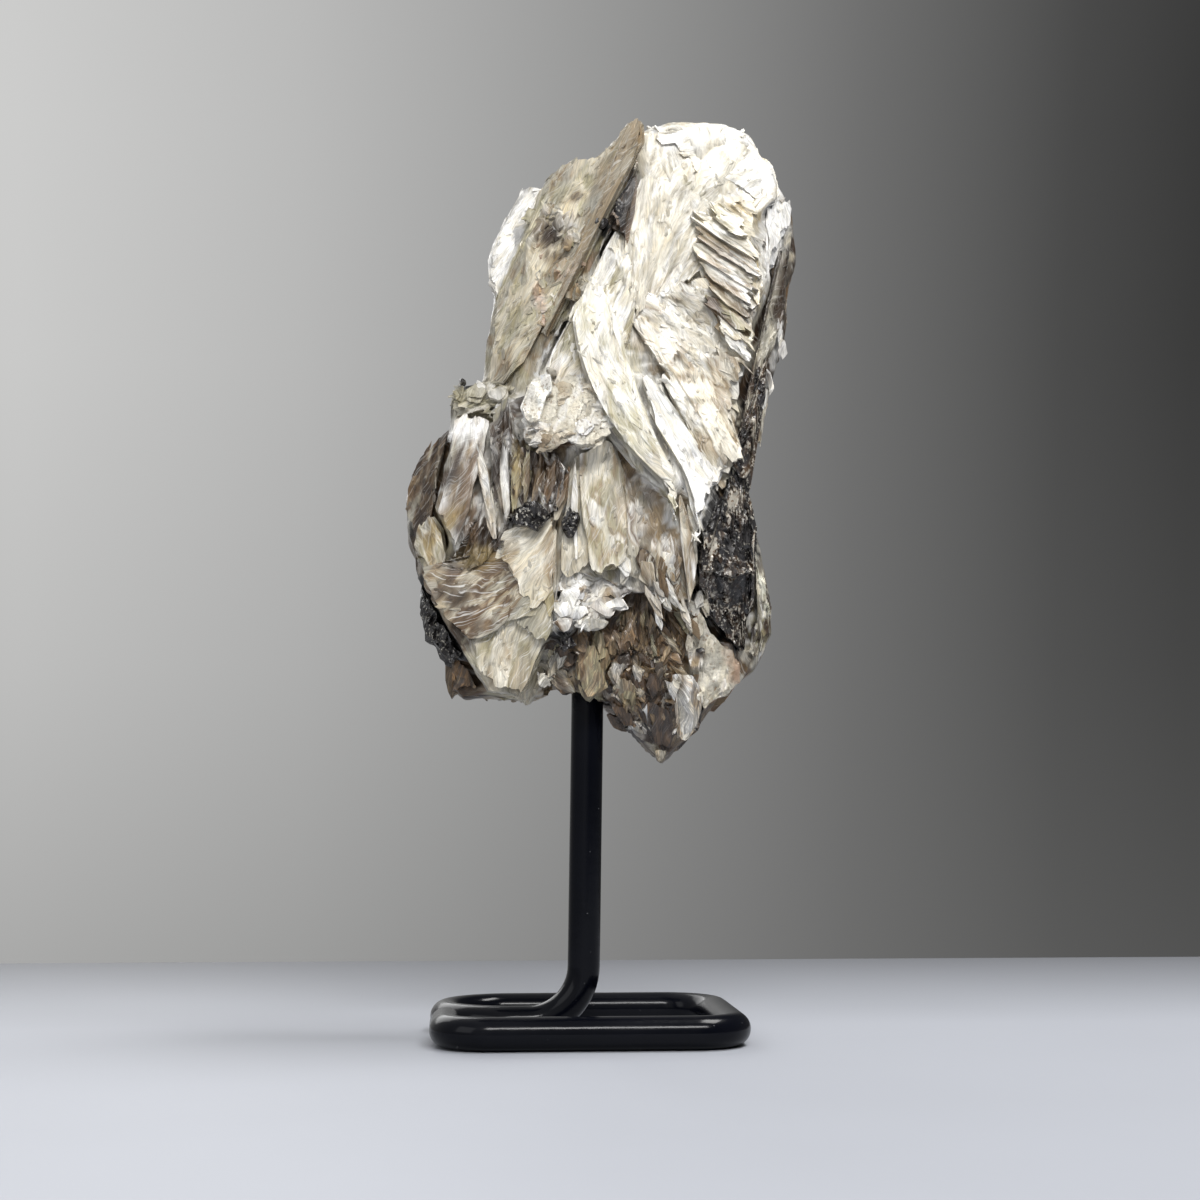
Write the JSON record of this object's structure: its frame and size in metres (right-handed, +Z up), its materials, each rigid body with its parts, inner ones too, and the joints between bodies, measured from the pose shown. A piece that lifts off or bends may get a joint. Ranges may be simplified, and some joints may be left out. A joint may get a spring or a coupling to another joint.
{
  "type": "mica specimen on a stand",
  "caption": "Natural mica rock of layered sheets with black tourmaline, held upright on a stand bent from one black rod.",
  "frame": {"origin": "on the table under the middle of the object's box", "axes": "+Z up along the stand's upright, +X to the viewer's right along the front of the foot, -Y towards the viewer"},
  "size_m": [0.083, 0.0534, 0.1835],
  "materials": {
    "mica": "pearly cleavage sheets, cream and silver to brown, with black tourmaline grown in",
    "tourmaline": "black granular tourmaline grown into the mica, with small bright glints",
    "black_coat": "gloss black coat on a round steel rod"
  },
  "bodies": {
    "root": {"mica_rock": "mica", "stand_rod": "black_coat"}
  },
  "joints": []
}
